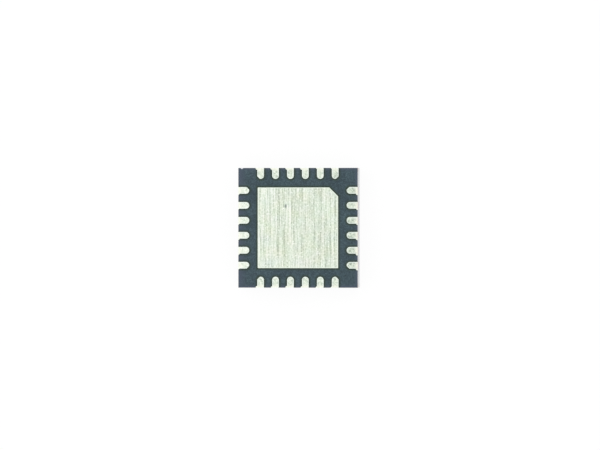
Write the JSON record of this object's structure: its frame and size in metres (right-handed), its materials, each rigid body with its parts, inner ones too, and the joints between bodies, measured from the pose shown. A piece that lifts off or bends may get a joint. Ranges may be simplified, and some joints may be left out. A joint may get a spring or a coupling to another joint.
{
  "type": "qfn chip",
  "caption": "Square leadless chip package: sawn moulded body, exposed pad with a cut corner, and flat plated leads along every edge for soldering to a circuit board.",
  "frame": {"origin": "middle of the moulded face, which lies on the bench at z = 0", "axes": "+Z out of the terminal face; +X and +Y towards the edges beside the pad's cut corner"},
  "size_m": [0.004, 0.004, 0.0009],
  "materials": {
    "mould_compound": "fine-grained dark slate moulding compound, sawn at the sides",
    "tin_plate": "matte tin plating over copper, lightly brushed",
    "die_adhesive": "cured silver-filled adhesive",
    "silicon": "polished silicon",
    "gold_wire": "drawn gold"
  },
  "bodies": {
    "root": {"mould_body": "mould_compound", "die_pad": "tin_plate", "die_attach": "die_adhesive", "die": "silicon", "lead_01": "tin_plate", "lead_02": "tin_plate", "lead_03": "tin_plate", "lead_04": "tin_plate", "lead_05": "tin_plate", "lead_06": "tin_plate", "lead_07": "tin_plate", "lead_08": "tin_plate", "lead_09": "tin_plate", "lead_10": "tin_plate", "lead_11": "tin_plate", "lead_12": "tin_plate", "lead_13": "tin_plate", "lead_14": "tin_plate", "lead_15": "tin_plate", "lead_16": "tin_plate", "lead_17": "tin_plate", "lead_18": "tin_plate", "lead_19": "tin_plate", "lead_20": "tin_plate", "lead_21": "tin_plate", "lead_22": "tin_plate", "lead_23": "tin_plate", "lead_24": "tin_plate", "bond_wire_01": "gold_wire", "bond_wire_02": "gold_wire", "bond_wire_03": "gold_wire", "bond_wire_04": "gold_wire", "bond_wire_05": "gold_wire", "bond_wire_06": "gold_wire", "bond_wire_07": "gold_wire", "bond_wire_08": "gold_wire", "bond_wire_09": "gold_wire", "bond_wire_10": "gold_wire", "bond_wire_11": "gold_wire", "bond_wire_12": "gold_wire", "bond_wire_13": "gold_wire", "bond_wire_14": "gold_wire", "bond_wire_15": "gold_wire", "bond_wire_16": "gold_wire", "bond_wire_17": "gold_wire", "bond_wire_18": "gold_wire", "bond_wire_19": "gold_wire", "bond_wire_20": "gold_wire", "bond_wire_21": "gold_wire", "bond_wire_22": "gold_wire", "bond_wire_23": "gold_wire", "bond_wire_24": "gold_wire"}
  },
  "joints": []
}
